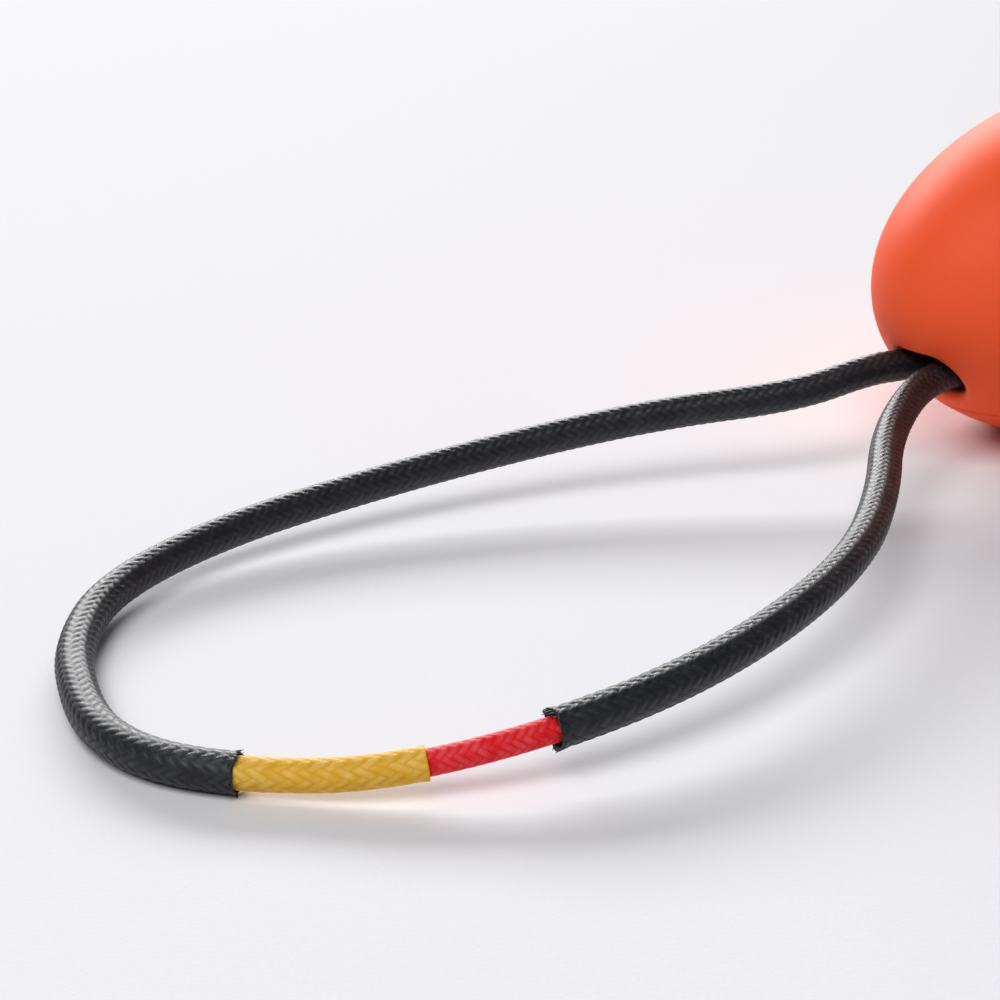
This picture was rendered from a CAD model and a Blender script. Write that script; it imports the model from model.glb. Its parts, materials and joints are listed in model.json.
import json
import math

import bpy
import numpy as np
from mathutils import Euler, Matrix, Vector


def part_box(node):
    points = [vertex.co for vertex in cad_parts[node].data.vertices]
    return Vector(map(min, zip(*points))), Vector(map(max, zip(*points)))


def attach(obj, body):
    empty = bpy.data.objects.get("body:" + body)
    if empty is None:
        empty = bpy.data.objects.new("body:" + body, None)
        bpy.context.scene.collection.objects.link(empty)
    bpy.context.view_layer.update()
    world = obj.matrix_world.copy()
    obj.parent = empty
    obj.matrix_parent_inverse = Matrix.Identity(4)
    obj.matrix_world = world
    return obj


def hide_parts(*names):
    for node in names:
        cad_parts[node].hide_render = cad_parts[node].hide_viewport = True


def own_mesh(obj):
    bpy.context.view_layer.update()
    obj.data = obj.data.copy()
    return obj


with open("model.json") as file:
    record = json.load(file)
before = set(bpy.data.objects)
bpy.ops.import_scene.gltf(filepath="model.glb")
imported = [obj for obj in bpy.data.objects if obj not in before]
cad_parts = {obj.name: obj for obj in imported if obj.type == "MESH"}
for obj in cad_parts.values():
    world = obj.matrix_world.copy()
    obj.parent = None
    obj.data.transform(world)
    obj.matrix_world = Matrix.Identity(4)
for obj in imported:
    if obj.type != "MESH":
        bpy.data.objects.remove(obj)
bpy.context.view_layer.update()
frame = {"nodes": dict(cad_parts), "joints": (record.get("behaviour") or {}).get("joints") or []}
nodes = frame["nodes"]

# ---------------------------------------------------------------- egg-shaped shell, lower half
# The lower half of the body: a shallow moulded tray with a flat underside, a lip that enters the
# upper half, and three sound slots.  Orange ABS under a thin soft-touch coat, so it is satin and
# very slightly grained all over, a little smoother where fingers hold it.


class Value:
    """What one socket of a finish gives.  Arithmetic on it adds the Math nodes."""

    def __init__(self, finish, socket):
        self.finish, self.socket = finish, socket

    def worked(self, operation, *operands):
        return self.finish.node("Math", {"operation": operation}, dict(enumerate(operands)))

    def __add__(self, other):
        return self.worked("ADD", self, other)

    def __radd__(self, other):
        return self.worked("ADD", other, self)

    def __sub__(self, other):
        return self.worked("SUBTRACT", self, other)

    def __rsub__(self, other):
        return self.worked("SUBTRACT", other, self)

    def __mul__(self, other):
        return self.worked("MULTIPLY", self, other)

    def __rmul__(self, other):
        return self.worked("MULTIPLY", other, self)

    def __truediv__(self, other):
        return self.worked("DIVIDE", self, other)

    def __mod__(self, other):
        return self.worked("FLOORED_MODULO", self, other)

    def __pow__(self, other):
        return self.worked("POWER", self, other)

    def __lt__(self, other):
        return self.worked("LESS_THAN", self, other)

    def floor(self):
        return self.worked("FLOOR", self)

    def held(self, low, high):
        """This value kept between two limits."""
        return self.worked("MINIMUM", self.worked("MAXIMUM", self, low), high)


class Finish:
    """One material: a Principled shader and the nodes that vary it."""

    def __init__(self, name, **sockets):
        self.material = bpy.data.materials.new(name)
        self.material.use_nodes = True
        self.tree = self.material.node_tree
        self.shader = self.tree.nodes["Principled BSDF"]
        self.set(**sockets)

    def feed(self, socket, value):
        if isinstance(value, Value):
            self.tree.links.new(value.socket, socket)
        else:
            socket.default_value = value

    def set(self, **sockets):
        """Give the shader's sockets; an underscore in a name stands for a space."""
        for name, value in sockets.items():
            self.feed(self.shader.inputs[name.replace("_", " ")], value)

    def node(self, kind, settings, sockets, output=0):
        """Add a node: its settings first, then its sockets' values or links; gives one output."""
        made = self.tree.nodes.new("ShaderNode" + kind)
        for name, setting in settings.items():
            if name == "stops":
                for place, colour in setting[2:]:
                    made.color_ramp.elements.new(place)
                for stop, (place, colour) in zip(made.color_ramp.elements, setting):
                    stop.position, stop.color = place, colour
            else:
                setattr(made, name, setting)
        for name, value in sockets.items():
            self.feed(made.inputs[name], value)
        return Value(self, made.outputs[output])

    def place(self):
        """The point on the piece, in metres."""
        return self.node("TexCoord", {}, {}, "Object")

    def grain(self, size, detail=2.0, roughness=0.5, at=None, stretch=None):
        """Soft noise from 0 to 1, with lumps of the given size in metres."""
        at = at or self.place()
        if stretch:
            at = self.node("VectorMath", {"operation": "MULTIPLY"}, {0: at, 1: stretch})
        return self.node("TexNoise", {}, {"Vector": at, "Scale": 1 / size, "Detail": detail,
                                          "Roughness": roughness})

    def between(self, low, high, share):
        """A colour between two, by a share from 0 to 1."""
        return self.node("Mix", {"data_type": "RGBA"}, {0: share, 6: low, 7: high}, 2)

    def rise(self, height, depth, onto=None):
        """The normal of a surface that stands height (0 to 1) times depth metres proud."""
        sockets = {"Height": height, "Distance": depth}
        if onto:
            sockets["Normal"] = onto
        return self.node("Bump", {}, sockets)

    def dress(self, piece):
        """Put this finish on a piece in place of any it has."""
        piece.data.materials.clear()
        piece.data.materials.append(self.material)


ORANGE_DEEP, ORANGE_LIGHT = (0.96, 0.098, 0.024, 1), (0.99, 0.112, 0.030, 1)

soft_touch = Finish("soft_touch_orange", IOR=1.5, Specular_IOR_Level=0.22)
cloud = soft_touch.grain(0.012, detail=3)
spark = soft_touch.grain(0.00022, detail=2, roughness=0.6)
soft_touch.set(Base_Color=soft_touch.between(ORANGE_DEEP, ORANGE_LIGHT, cloud),
               Roughness=0.52 + 0.10 * cloud + 0.05 * spark,
               Normal=soft_touch.rise(spark, 0.000012))
soft_touch.dress(nodes["base_tray"])

# ---------------------------------------------------------------- leaf holder
# A block of grey acetal that traps the root of the click leaf in a tapering slot.  It is moulded,
# plain and slightly waxy, and two screws hold it down on the tray's bosses.

acetal = Finish("grey_acetal", IOR=1.48, Subsurface_Weight=0.05, Subsurface_Scale=0.001)
flow = acetal.grain(0.003, detail=4, stretch=(1, 1, 4))
acetal.set(Base_Color=acetal.between((0.52, 0.52, 0.50, 1), (0.60, 0.60, 0.585, 1), flow),
           Roughness=0.40 + 0.12 * flow,
           Normal=acetal.rise(acetal.grain(0.0003), 0.000008))
acetal.dress(nodes["leaf_holder"])

# ---------------------------------------------------------------- click leaf
# The strip that clicks: hardened and tempered spring steel, rolled, so its brushed grain runs
# along it, with a pressed dimple under the button's stem and a faint straw tint from tempering.

spring_steel = Finish("tempered_spring_steel", Metallic=1.0, IOR=2.5)
rolled = spring_steel.grain(0.0004, detail=4, stretch=(0.05, 1, 1))
temper = spring_steel.grain(0.006, detail=2)
spring_steel.set(
    Base_Color=spring_steel.between((0.50, 0.47, 0.41, 1), (0.62, 0.62, 0.62, 1), temper),
    Roughness=0.22 + 0.20 * rolled,
    Normal=spring_steel.rise(rolled, 0.000006))
spring_steel.dress(nodes["click_leaf"])

# ---------------------------------------------------------------- screws
# Pan-head thread-forming screws with a driver slot: two close the case from below, two hold the
# leaf's block, and two hold the guide plate.  Zinc-plated steel, dulled a little by handling.

zinc = Finish("zinc_plated_steel", Metallic=1.0, IOR=2.5)
dulling = zinc.grain(0.0012, detail=5, roughness=0.6)
zinc.set(Base_Color=zinc.between((0.46, 0.47, 0.50, 1), (0.66, 0.66, 0.66, 1), dulling),
         Roughness=0.24 + 0.26 * dulling,
         Normal=zinc.rise(zinc.grain(0.00015, detail=3), 0.000004))
for name in ("case_screws", "leaf_holder_screws", "guide_plate_screws"):
    zinc.dress(nodes[name])

# ---------------------------------------------------------------- egg-shaped shell, upper half
# The upper half carries the button's opening, the bosses for the guide plate, and the boss and
# slot that the wrist loop leaves by.  It is the same coated plastic as the tray.

soft_touch.dress(nodes["upper_shell"])

# ---------------------------------------------------------------- guide plate
# A small plate with a bush that keeps the button's stem upright and seats the return spring.
# It is the same grey acetal as the leaf's block, because the stem slides in it.

acetal.dress(nodes["guide_plate"])

# ---------------------------------------------------------------- return spring
# A compression spring of bright steel wire, wound round the stem between the guide plate and the
# button's flange.  Its end turns are closed, and the whole spring shortens with the button.

WIRE_SIDES, SPRING_TURNS, END_TURN = 14, 5, 0.75
spring_low, spring_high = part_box("return_spring")
spring_middle = (spring_low + spring_high) / 2
WIRE_RADIUS = 0.0003
coil_radius = (spring_high.x - spring_low.x) / 2 - WIRE_RADIUS


def coil_points(turns, end_turn, radius, low, high, steps=36):
    """Points along a compression spring whose end turns lie flat."""
    share = np.linspace(0, 1, int(turns * steps) + 1)
    angle = 2 * math.pi * turns * share
    turned = turns * share
    closed = 2.2 * WIRE_RADIUS
    rise = np.clip((turned - end_turn) / (turns - 2 * end_turn), 0, 1)
    height = low + closed * np.clip(turned / end_turn, 0, 1) * 0.5
    height += (high - low - closed) * rise
    height += closed * np.clip((turned - turns + end_turn) / end_turn, 0, 1) * 0.5
    return np.stack([radius * np.cos(angle), radius * np.sin(angle), height], axis=1)


def carried_frames(points, up):
    """Unit vectors along a line and two across it, turned as little as the line allows."""
    along = np.gradient(points, axis=0)
    along /= np.linalg.norm(along, axis=1)[:, None]
    side = np.empty_like(points)
    now = np.array(up, float)
    for index, tangent in enumerate(along):
        now = now - (now @ tangent) * tangent
        now /= np.linalg.norm(now)
        side[index] = now
    return along, side, np.cross(along, side)


def ring_faces(rings, around, first=0, flip=False):
    """Quads that join successive rings of points into a tube."""
    ring, step = np.meshgrid(np.arange(rings - 1), np.arange(around), indexing="ij")
    turn = (step + 1) % around
    corners = [ring * around + step, ring * around + turn,
               (ring + 1) * around + turn, (ring + 1) * around + step]
    faces = np.stack(corners, axis=-1).reshape(-1, 4) + first
    return faces[:, ::-1] if flip else faces


def new_piece(name, points, faces):
    """A smooth-shaded mesh object in the scene."""
    mesh = bpy.data.meshes.new(name)
    mesh.from_pydata(np.asarray(points).tolist(), [], [list(face) for face in faces])
    mesh.polygons.foreach_set("use_smooth", np.ones(len(mesh.polygons), bool))
    piece = bpy.data.objects.new(name, mesh)
    bpy.context.scene.collection.objects.link(piece)
    return piece


line = coil_points(SPRING_TURNS, END_TURN, coil_radius, spring_low.z + WIRE_RADIUS,
                   spring_high.z - WIRE_RADIUS)
line += np.array([spring_middle.x, spring_middle.y, 0])
along, side, across = carried_frames(line, (1, 0, 0))
turn = np.linspace(0, 2 * math.pi, WIRE_SIDES, endpoint=False)
tube = line[:, None] + WIRE_RADIUS * (np.cos(turn)[None, :, None] * side[:, None]
                                      + np.sin(turn)[None, :, None] * across[:, None])
faces = ring_faces(len(line), WIRE_SIDES).tolist()
faces.append(list(range(WIRE_SIDES))[::-1])
faces.append(list(range((len(line) - 1) * WIRE_SIDES, len(line) * WIRE_SIDES)))
spring = new_piece("return_spring_wire", tube.reshape(-1, 3), faces)
bright_wire = Finish("bright_drawn_wire", Metallic=1.0, IOR=2.5)
drawn = bright_wire.grain(0.0005, detail=4)
bright_wire.set(
    Base_Color=bright_wire.between((0.55, 0.55, 0.56, 1), (0.74, 0.74, 0.73, 1), drawn),
    Roughness=0.16 + 0.16 * drawn)
bright_wire.dress(spring)
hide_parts("return_spring")
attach(spring, "body")
press = next(joint for joint in frame["joints"] if joint["name"] == "button_press")
spring_height = spring_high.z - spring_low.z
1 - press["range_m"][1] / spring_height
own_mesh(spring)

# ---------------------------------------------------------------- thumb button and its pad
# The button is moulded in the same plastic as the shell, a shade lighter, with a crowned top and
# a dished seat.  The pad let into it is soft dark rubber with a fine moulded grain for grip.

button_plastic = Finish("button_plastic", IOR=1.5, Specular_IOR_Level=0.45)
swirl = button_plastic.grain(0.008, detail=3)
pitting = button_plastic.grain(0.0002, detail=2, roughness=0.6)
button_plastic.set(
    Base_Color=button_plastic.between((0.86, 0.145, 0.040, 1), (0.90, 0.175, 0.055, 1), swirl),
    Roughness=0.36 + 0.10 * swirl, Normal=button_plastic.rise(pitting, 0.000008))
button_plastic.dress(nodes["push_button"])

rubber = Finish("pad_rubber", IOR=1.52, Specular_IOR_Level=0.35, Sheen_Weight=0.2,
                Sheen_Roughness=0.5)
pebble = rubber.node("TexVoronoi", {"feature": "SMOOTH_F1"},
                     {"Vector": rubber.place(), "Scale": 1800.0, "Smoothness": 0.6})
bloom = rubber.grain(0.004, detail=3)
rubber.set(Base_Color=rubber.between((0.020, 0.021, 0.024, 1), (0.042, 0.043, 0.047, 1), bloom),
           Roughness=0.62 + 0.15 * bloom, Normal=rubber.rise(pebble, 0.00008))
rubber.dress(nodes["thumb_pad"])

# ---------------------------------------------------------------- cord ferrule
# A flattened brass sleeve crimped over both ends of the cord.  It rests against the boss inside
# the shell, so the loop cannot be pulled out.

brass = Finish("crimped_brass", Metallic=1.0, IOR=2.5)
tarnish = brass.grain(0.0015, detail=5, roughness=0.6)
brass.set(Base_Color=brass.between((0.42, 0.26, 0.09, 1), (0.72, 0.50, 0.20, 1), tarnish),
          Roughness=0.22 + 0.30 * tarnish,
          Normal=brass.rise(brass.grain(0.0004, detail=3), 0.000012))
brass.dress(nodes["cord_ferrule"])

# ---------------------------------------------------------------- wrist loop: red core braid
# The loop's core runs its whole length: sixteen fine waxed red yarns braided two over, two under.
# It shows only in the middle of the window that is cut through the two layers over it.

ROUTE = [
    (-0.0175, 0.0016, 0.0090), (-0.0255, 0.0016, 0.0090), (-0.0325, 0.0018, 0.0093),
    (-0.0370, 0.0025, 0.0094), (-0.0445, 0.0040, 0.0079), (-0.0565, 0.0100, 0.0069),
    (-0.0705, 0.0145, 0.0053), (-0.0860, 0.0170, 0.0038), (-0.1005, 0.0170, 0.0028),
    (-0.1130, 0.0130, 0.0021), (-0.1205, 0.0050, 0.0016), (-0.1245, -0.0040, 0.0016),
    (-0.1260, -0.0105, 0.0016), (-0.1250, -0.0165, 0.0016), (-0.1210, -0.0220, 0.0016),
    (-0.1147, -0.0278, 0.0020), (-0.1051, -0.0325, 0.0036), (-0.0921, -0.0338, 0.0049),
    (-0.0788, -0.0314, 0.0059), (-0.0661, -0.0260, 0.0065), (-0.0557, -0.0182, 0.0070),
    (-0.0469, -0.0099, 0.0074), (-0.0390, -0.0045, 0.0082), (-0.0330, -0.0020, 0.0089),
    (-0.0255, -0.0016, 0.0090), (-0.0175, -0.0016, 0.0090),
]
SLOT_MOUTH_OUT, SLOT_MOUTH_BACK = (-0.0324, 0.0018, 0.0093), (-0.0324, -0.0019, 0.0089)

route = bpy.data.curves.new("cord_route", "CURVE")
route.dimensions = "3D"
lay = route.splines.new("NURBS")
lay.points.add(len(ROUTE) - 1)
for point, place in zip(lay.points, ROUTE):
    point.co = (*place, 1)
lay.order_u = 3
lay.use_endpoint_u = True
lay.resolution_u = 64
route_holder = bpy.data.objects.new("cord_route", route)
route_line = bpy.data.meshes.new_from_object(route_holder)
line = np.array([vertex.co for vertex in route_line.vertices])
bpy.data.objects.remove(route_holder)
run = np.r_[0, np.cumsum(np.linalg.norm(np.diff(line, axis=0), axis=1))]
STEP = 0.00025
stations = np.arange(0, run[-1] + STEP / 2, STEP)
centre_line = np.stack([np.interp(stations, run, line[:, axis]) for axis in range(3)], axis=1)
frames = carried_frames(centre_line, (0, 0, 1))
CORD_LENGTH = float(run[-1])


def on_route(values, lengths):
    """Values kept at the stations, read at other lengths along the cord."""
    return np.stack([np.interp(lengths, stations, values[:, axis]) for axis in range(3)], axis=1)


def braid_height(turn, lay_on, crimp, bulge):
    """How far the upper yarn stands up, in a braid that goes two over and two under.

    turn counts the yarns of one hand round the cord, lay_on counts stitches along it.
    """
    right, left = turn + lay_on, turn - lay_on
    right_yarn, left_yarn = np.floor(right), np.floor(left)

    def crown(across):
        return np.sqrt(np.clip(1 - 0.96 * (2 * across - 1) ** 2, 0, None))

    right_wave = np.cos(math.pi / 2 * (right_yarn + left - 1))
    left_wave = -np.cos(math.pi / 2 * (right + left_yarn - 1))
    return np.maximum(crimp * right_wave + bulge * crown(right - right_yarn),
                      crimp * left_wave + bulge * crown(left - left_yarn))


def braided_layer(name, lengths, outer, inner, yarns, stitch, crimp, bulge, sides, relief, flare,
                  ragged=None):
    """One braided layer of the cord, closed at both ends, its outside relieved by its yarns.

    lengths are the places of its rings along the cord; relief and flare give, at those places,
    how much of the braid's relief shows and how far the layer spreads.  ragged gives, at those
    places, how far single yarns end before or past the cut.
    """
    turn = np.arange(yarns * sides) / sides
    around = len(turn)
    lay_on = lengths / stitch
    height = braid_height(turn[None, :], lay_on[:, None], crimp, bulge) - crimp - bulge
    radius = outer + height * relief[:, None] + flare[:, None]
    centre = on_route(centre_line, lengths)
    side, across = on_route(frames[1], lengths), on_route(frames[2], lengths)
    angle = turn * 2 * math.pi / yarns
    outward = (np.cos(angle)[None, :, None] * side[:, None]
               + np.sin(angle)[None, :, None] * across[:, None])
    skin = centre[:, None] + radius[:, :, None] * outward
    if ragged is not None:
        uneven = np.random.default_rng(7).uniform(-1, 1, 2 * yarns)
        own = np.interp(2 * turn, np.arange(2 * yarns + 1), np.r_[uneven, uneven[0]])
        skin += (ragged[:, None] * own)[:, :, None] * on_route(frames[0], lengths)[:, None]
    skin = skin.reshape(-1, 3)
    faces = [ring_faces(len(lengths), around)]
    marks = [np.stack(np.broadcast_arrays(turn[None, :], lay_on[:, None]),
                      axis=-1).reshape(-1, 2)]
    points = [skin]
    last = (len(lengths) - 1) * around
    if inner:
        kept = np.unique(np.r_[np.arange(0, len(lengths), 6), len(lengths) - 1])
        hollow = (centre[kept][:, None] + (inner + flare[kept])[:, None, None] * outward[kept])
        points.append(hollow.reshape(-1, 3))
        marks.append(np.stack(np.broadcast_arrays(turn[None, :], lay_on[kept][:, None]),
                              axis=-1).reshape(-1, 2))
        base = len(skin)
        faces.append(ring_faces(len(kept), around, base, flip=True))
        step = np.arange(around)
        turned = (step + 1) % around
        inner_last = base + (len(kept) - 1) * around
        faces.append(np.stack([step, base + step, base + turned, turned], axis=1))
        faces.append(np.stack([last + step, last + turned, inner_last + turned,
                               inner_last + step], axis=1))
        faces = np.concatenate(faces).tolist()
    else:
        faces = faces[0].tolist()
        faces.append(list(range(around))[::-1])
        faces.append(list(range(last, last + around)))
    points, marks = np.concatenate(points), np.concatenate(marks)
    piece = new_piece(name, points, faces)
    mesh = piece.data
    corners = np.empty(len(mesh.loops), int)
    mesh.loops.foreach_get("vertex_index", corners)
    spread = marks[corners]
    starts = np.array([polygon.loop_start for polygon in mesh.polygons])
    counts = np.array([polygon.loop_total for polygon in mesh.polygons])
    first = np.repeat(np.maximum.reduceat(spread[:, 0], starts), counts)
    wrapped = (first > yarns - 1.5 / sides) & (spread[:, 0] < 0.5)
    spread[wrapped, 0] += yarns
    mesh.uv_layers.new(name="lay").uv.foreach_set("vector", spread.astype(np.float32).ravel())
    return piece


def waxed_yarn(name, shade, light, wax, rough, fibre_depth, **sockets):
    """Braided waxed yarn: fibres run along each yarn, and every stitch takes dye its own way."""
    finish = Finish(name, **sockets)
    spot = finish.node("UVMap", {"uv_map": "lay"}, {})
    parts = finish.tree.nodes.new("ShaderNodeSeparateXYZ")
    finish.feed(parts.inputs[0], spot)
    turn, lay_on = Value(finish, parts.outputs[0]), Value(finish, parts.outputs[1])
    right, left = turn + lay_on, turn - lay_on
    right_yarn, left_yarn = right.floor(), left.floor()
    right_up = ((right_yarn + left_yarn) % 4.0) < 2.0
    across = right_up * (right - right_yarn) + (1 - right_up) * (left - left_yarn)
    on = right_up * left + (1 - right_up) * right
    yarn = right_up * right_yarn + (1 - right_up) * (left_yarn + 57.0)
    float_number = ((right_yarn + left_yarn) / 4.0).floor()
    fibre_at = finish.node("CombineXYZ", {}, {0: across * 9.0, 1: on * 0.9, 2: yarn * 3.7})
    fibre = finish.node("TexNoise", {}, {"Vector": fibre_at, "Scale": 1.0, "Detail": 3.0})
    seed = finish.node("CombineXYZ", {}, {0: yarn, 1: float_number, 2: right_up})
    own = finish.node("TexWhiteNoise", {"noise_dimensions": "3D"}, {"Vector": seed}, "Value")
    crown = 1 - (2 * across - 1) ** 2.0
    tone = (0.55 * fibre + 0.25 * own + 0.35 * crown - 0.15).held(0.0, 1.0)
    dyed = finish.between(shade, light, tone)
    waxy = (finish.grain(0.0013, detail=3) * 2.4 - 0.9).held(0.0, 1.0) * crown
    finish.set(Base_Color=finish.between(dyed, wax, 0.6 * waxy),
               Roughness=rough - 0.14 * crown + 0.12 * fibre,
               Normal=finish.rise(fibre, fibre_depth))
    return finish


def rings(*spans):
    """Ring places along the cord: spans of (start, end, spacing), the ends included."""
    places = [np.arange(start, end, spacing) for start, end, spacing in spans]
    return np.r_[np.concatenate(places), spans[-1][1]]


def shown(lengths, start, end, fade=0.0006):
    """1 between two places along the cord, fading to 0 outside them."""
    return np.clip((lengths - start) / fade, 0, 1) * np.clip((end - lengths) / fade, 0, 1)


SHEATH_END, MIDDLE_END, MOUTH, MIDDLE_RESUMES = 0.1378, 0.1510, 0.1603, 0.1619
CORE_RADIUS, MIDDLE_RADIUS, SHEATH_RADIUS = 0.0010, 0.00125, 0.0015
LAYER_GAP = 0.00002       # between one braid and the next
HIDDEN_REACH = 0.003      # relief carries on this far under the layer above
RESUME_REACH = 0.001
PLAIN_SPACING = 0.001     # between rings where the layer above hides them

window_start, window_end = MIDDLE_END - HIDDEN_REACH, MIDDLE_RESUMES + RESUME_REACH
places = rings((0, window_start, PLAIN_SPACING), (window_start, window_end, 0.0001),
               (window_end, CORD_LENGTH, PLAIN_SPACING))
core = braided_layer("core_braid_yarn", places, CORE_RADIUS, 0, yarns=8, stitch=0.00081,
                     crimp=0.00002, bulge=0.00006, sides=10,
                     relief=shown(places, window_start, window_end),
                     flare=np.zeros(len(places)))
red_yarn = waxed_yarn("waxed_red_yarn", (0.62, 0.003, 0.008, 1), (0.88, 0.009, 0.018, 1),
                      (0.92, 0.16, 0.18, 1), rough=0.55, fibre_depth=0.00002, IOR=1.48,
                      Specular_IOR_Level=0.18)
red_yarn.dress(core)
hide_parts("core_braid")
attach(core, "body")

# ---------------------------------------------------------------- wrist loop: yellow middle braid
# The middle layer is a flat-lying braid of twenty yellow yarns.  It is cut back further than the
# sheath on one side of the window, where its end stands up as a thin lip round the core.


yellow_yarn = waxed_yarn("waxed_yellow_yarn", (0.66, 0.32, 0.010, 1), (0.84, 0.47, 0.018, 1),
                         (0.92, 0.70, 0.26, 1), rough=0.55, fibre_depth=0.00002, IOR=1.48,
                         Specular_IOR_Level=0.22)
window_start = SHEATH_END - HIDDEN_REACH
places = rings((0, window_start, PLAIN_SPACING), (window_start, MIDDLE_END, 0.00012))
middle_long = braided_layer("middle_braid_long_yarn", places, MIDDLE_RADIUS,
                            CORE_RADIUS + LAYER_GAP, yarns=10, stitch=0.00122, crimp=0.00003,
                            bulge=0.00007, sides=8,
                            relief=shown(places, window_start, MIDDLE_END + RESUME_REACH),
                            flare=0.00006 * np.clip(1 - (MIDDLE_END - places) / 0.0006, 0, 1) ** 2)
places = rings((MIDDLE_RESUMES, CORD_LENGTH, 0.0008))
middle_short = braided_layer("middle_braid_short_yarn", places, MIDDLE_RADIUS,
                             CORE_RADIUS + LAYER_GAP, yarns=10, stitch=0.00122, crimp=0.00003,
                             bulge=0.00007, sides=8, relief=np.zeros(len(places)),
                             flare=np.zeros(len(places)))
for piece, node, start, end, mouth in (
        (middle_long, "middle_braid_long", 0, MIDDLE_END, SLOT_MOUTH_OUT),
        (middle_short, "middle_braid_short", MIDDLE_RESUMES, CORD_LENGTH, SLOT_MOUTH_BACK)):
    yellow_yarn.dress(piece)
    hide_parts(node)
    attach(piece, "body")

# ---------------------------------------------------------------- wrist loop: black outer sheath
# The sheath is a tight braid of twenty-four waxed black yarns.  The window's edges are its two cut
# ends, where a few yarn ends stand up and fray.

black_yarn = waxed_yarn("waxed_black_yarn", (0.005, 0.0056, 0.0072, 1), (0.013, 0.014, 0.0175, 1),
                        (0.045, 0.048, 0.058, 1), rough=0.48, fibre_depth=0.00003, IOR=1.5,
                        Specular_IOR_Level=0.4)


def lifted(lengths, cut, reach=0.0007, lift=0.00010):
    """How far the sheath spreads where it was cut."""
    return lift * np.clip(1 - np.abs(cut - lengths) / reach, 0, 1) ** 2


def near_cut(lengths, cut, reach=0.0006, most=0.00022):
    """How far the sheath's single yarns stand past or short of its cut."""
    return most * np.clip(1 - np.abs(cut - lengths) / reach, 0, 1)


TAIL_RINGS, TAIL_SIDES, TAIL_ROOT = 12, 8, 0.0003


def yarn_tails(name, cut, heading, tails):
    """Loose yarn ends at a cut: each leaves the rim, runs along the cord and curls away from it.

    heading is 1 where the window lies further along the cord, and -1 where it lies before.  A
    tail is (degrees round the cord, length, curl outwards, drift round the cord, thickness).
    """
    centre = on_route(centre_line, np.array([cut]))[0]
    along, side, across = (on_route(axis, np.array([cut]))[0] for axis in frames)
    points, faces = [], []
    for clock, length, curl, drift, thick in tails:
        share = np.linspace(0, 1, TAIL_RINGS)
        angle = math.radians(clock) + drift * share ** 1.5
        out = np.cos(angle)[:, None] * side + np.sin(angle)[:, None] * across
        reach = SHEATH_RADIUS - 0.00004 + curl * share ** 2
        run_out = heading * (length * share * (1 - 0.35 * share * (curl > length / 2)) - TAIL_ROOT)
        spine = centre + run_out[:, None] * along + reach[:, None] * out
        _, first, second = carried_frames(spine, across + 0.3 * side)
        width = thick * (1 - 0.75 * share ** 3)
        round_tail = np.linspace(0, 2 * math.pi, TAIL_SIDES, endpoint=False)
        tube = spine[:, None] + width[:, None, None] * (
            np.cos(round_tail)[None, :, None] * first[:, None]
            + 0.6 * np.sin(round_tail)[None, :, None] * second[:, None])
        base = len(points) * TAIL_RINGS * TAIL_SIDES
        points.append(tube.reshape(-1, 3))
        faces += ring_faces(TAIL_RINGS, TAIL_SIDES, base).tolist()
        faces.append(list(range(base, base + TAIL_SIDES))[::-1])
        end = base + (TAIL_RINGS - 1) * TAIL_SIDES
        faces.append(list(range(end, end + TAIL_SIDES)))
    return new_piece(name, np.concatenate(points), faces)


END_TAILS = [
    (8, 0.0009, 0.0005, 0.3, 0.00010), (-14, 0.0006, 0.0002, -0.2, 0.00009),
    (30, 0.0005, 0.0001, 0.1, 0.00008), (-150, 0.0008, 0.0005, 0.3, 0.00010),
    (172, 0.0005, 0.0003, -0.3, 0.00009), (80, 0.0005, 0.0002, 0.4, 0.00008),
    (-95, 0.0004, 0.0001, 0.2, 0.00009), (-60, 0.0004, 0.00005, 0.2, 0.00008),
]
MOUTH_TAILS = [
    (0, 0.0011, 0.0003, 0.2, 0.00010), (14, 0.0012, 0.0001, -0.1, 0.00011),
    (-16, 0.0010, 0.0002, 0.3, 0.00010), (28, 0.0007, 0.0003, 0.1, 0.00009),
    (-40, 0.0006, 0.0001, 0.2, 0.00009), (150, 0.0006, 0.0002, 0.2, 0.00009),
    (-165, 0.0005, 0.0002, -0.2, 0.00009), (95, 0.0004, 0.0001, 0.2, 0.00008),
]
SHEATH_SKIN = SHEATH_RADIUS + 0.00003    # the crowns of its yarns
SHEATH_BRAID = {"yarns": 12, "stitch": 0.0010, "crimp": 0.00005, "bulge": 0.00011, "sides": 8}
places = rings((0, SHEATH_END, 0.00017))
sheath_long = braided_layer("outer_sheath_long_yarn", places, SHEATH_SKIN,
                            MIDDLE_RADIUS + LAYER_GAP, relief=np.ones(len(places)),
                            flare=lifted(places, SHEATH_END),
                            ragged=near_cut(places, SHEATH_END), **SHEATH_BRAID)
places = rings((MOUTH, CORD_LENGTH, 0.00014))
sheath_short = braided_layer("outer_sheath_short_yarn", places, SHEATH_SKIN,
                             MIDDLE_RADIUS + LAYER_GAP, relief=np.ones(len(places)),
                             flare=lifted(places, MOUTH),
                             ragged=near_cut(places, MOUTH), **SHEATH_BRAID)
end_tails = yarn_tails("sheath_end_tails", SHEATH_END, 1, END_TAILS)
mouth_tails = yarn_tails("sheath_mouth_tails", MOUTH, -1, MOUTH_TAILS)
plain_black = Finish("waxed_black_tails", IOR=1.5)
strand = plain_black.grain(0.00012, detail=3)
plain_black.set(Base_Color=plain_black.between((0.010, 0.011, 0.013, 1), (0.045, 0.047, 0.053, 1),
                                               strand),
                Roughness=0.45 + 0.2 * strand, Normal=plain_black.rise(strand, 0.00002))
for tails in (end_tails, mouth_tails):
    plain_black.dress(tails)
    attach(tails, "body")
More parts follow.
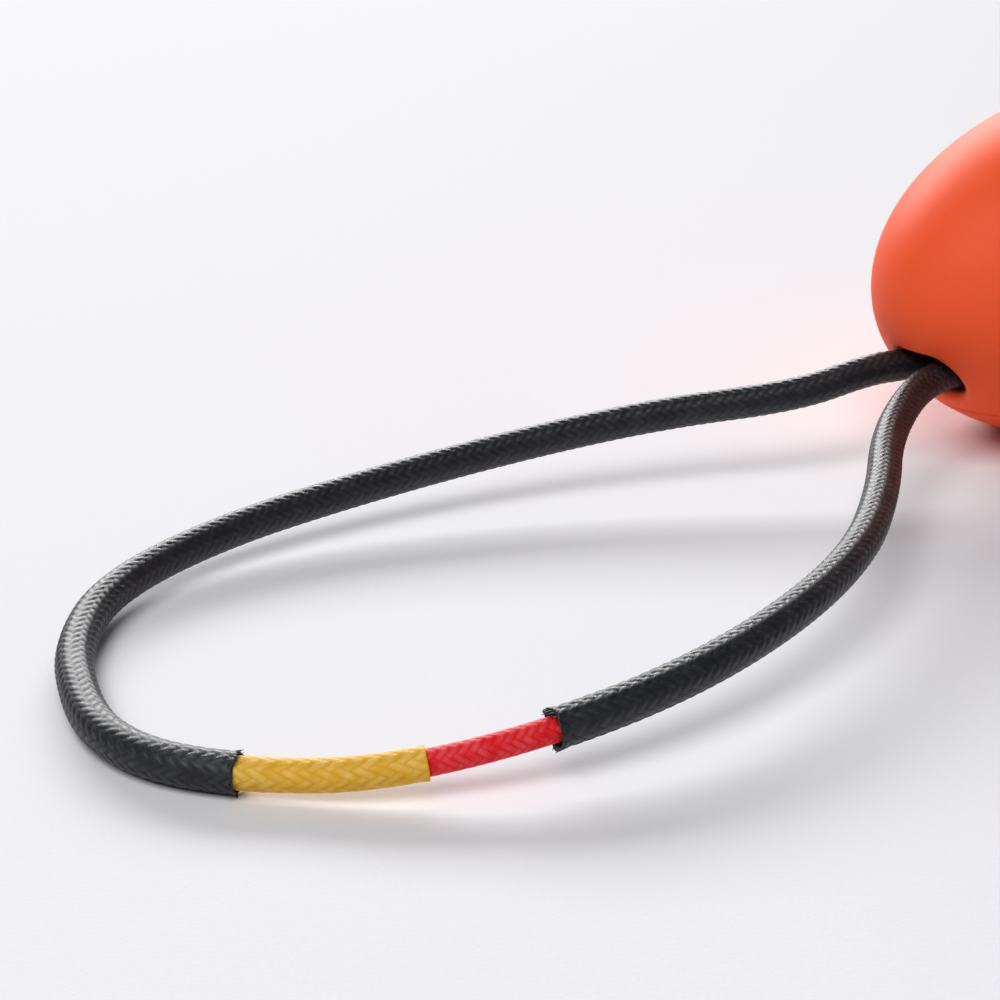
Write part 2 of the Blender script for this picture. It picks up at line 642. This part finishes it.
for piece, node, start, end, mouth, tails in (
        (sheath_long, "outer_sheath_long", 0, SHEATH_END, SLOT_MOUTH_OUT, end_tails),
        (sheath_short, "outer_sheath_short", MOUTH, CORD_LENGTH, SLOT_MOUTH_BACK, mouth_tails)):
    black_yarn.dress(piece)
    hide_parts(node)
    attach(piece, "body")

# ---------------------------------------------------------------- floor, light and camera
# A plain pale sheet with a very fine tooth.  A wide soft light stands low behind the loop, and a
# second one, high on the near side, fills the front of the body.

floor = new_piece("floor", [(-2, -2, 0), (2, -2, 0), (2, 2, 0), (-2, 2, 0)], [(0, 1, 2, 3)])
paper = Finish("pale_paper", IOR=1.45, Specular_IOR_Level=0.05)
tooth = paper.grain(0.0004, detail=3)
paper.set(Base_Color=paper.between((0.775, 0.77, 0.80, 1), (0.805, 0.80, 0.825, 1), tooth),
          Roughness=0.75, Normal=paper.rise(tooth, 0.00002))
paper.dress(floor)

FORWARD = Vector((0.6018, 0.7986, 0))
LOOP_MIDDLE = Vector((-0.083, -0.007, 0))


def softbox(name, distance, elevation, swing, width, height, power):
    """A rectangular soft light aimed at the loop; swing turns it from straight behind."""
    light = bpy.data.lights.new(name, "AREA")
    light.shape = "RECTANGLE"
    light.size, light.size_y, light.energy = width, height, power
    lamp = bpy.data.objects.new(name, light)
    bpy.context.scene.collection.objects.link(lamp)
    heading = FORWARD.copy()
    heading.rotate(Euler((0, 0, math.radians(swing))))
    toward = heading * math.cos(math.radians(elevation))
    toward.z = math.sin(math.radians(elevation))
    lamp.location = LOOP_MIDDLE + toward * distance
    lamp.rotation_euler = toward.to_track_quat("Z", "Y").to_euler()


softbox("back_softbox", 3.0, 23, 10, 2.6, 0.8, 108)
softbox("front_softbox", 1.4, 57, 155, 1.0, 1.0, 14)
world = bpy.data.worlds.new("studio")
world.use_nodes = True
world.node_tree.nodes["Background"].inputs[0].default_value = (0.97, 0.97, 1.0, 1)
world.node_tree.nodes["Background"].inputs[1].default_value = 0.14
bpy.context.scene.world = world
bpy.context.scene.view_settings.view_transform = "Standard"

camera = bpy.data.objects.new("camera", bpy.data.cameras.new("camera"))
camera.data.lens, camera.data.sensor_width = 86.4, 36
camera.data.clip_start, camera.data.clip_end = 0.01, 10
camera.location = (-0.196754, -0.151432, 0.076316)
camera.rotation_euler = (math.radians(90 - 20.09), 0, math.radians(-37.0))
bpy.context.scene.collection.objects.link(camera)
bpy.context.scene.camera = camera
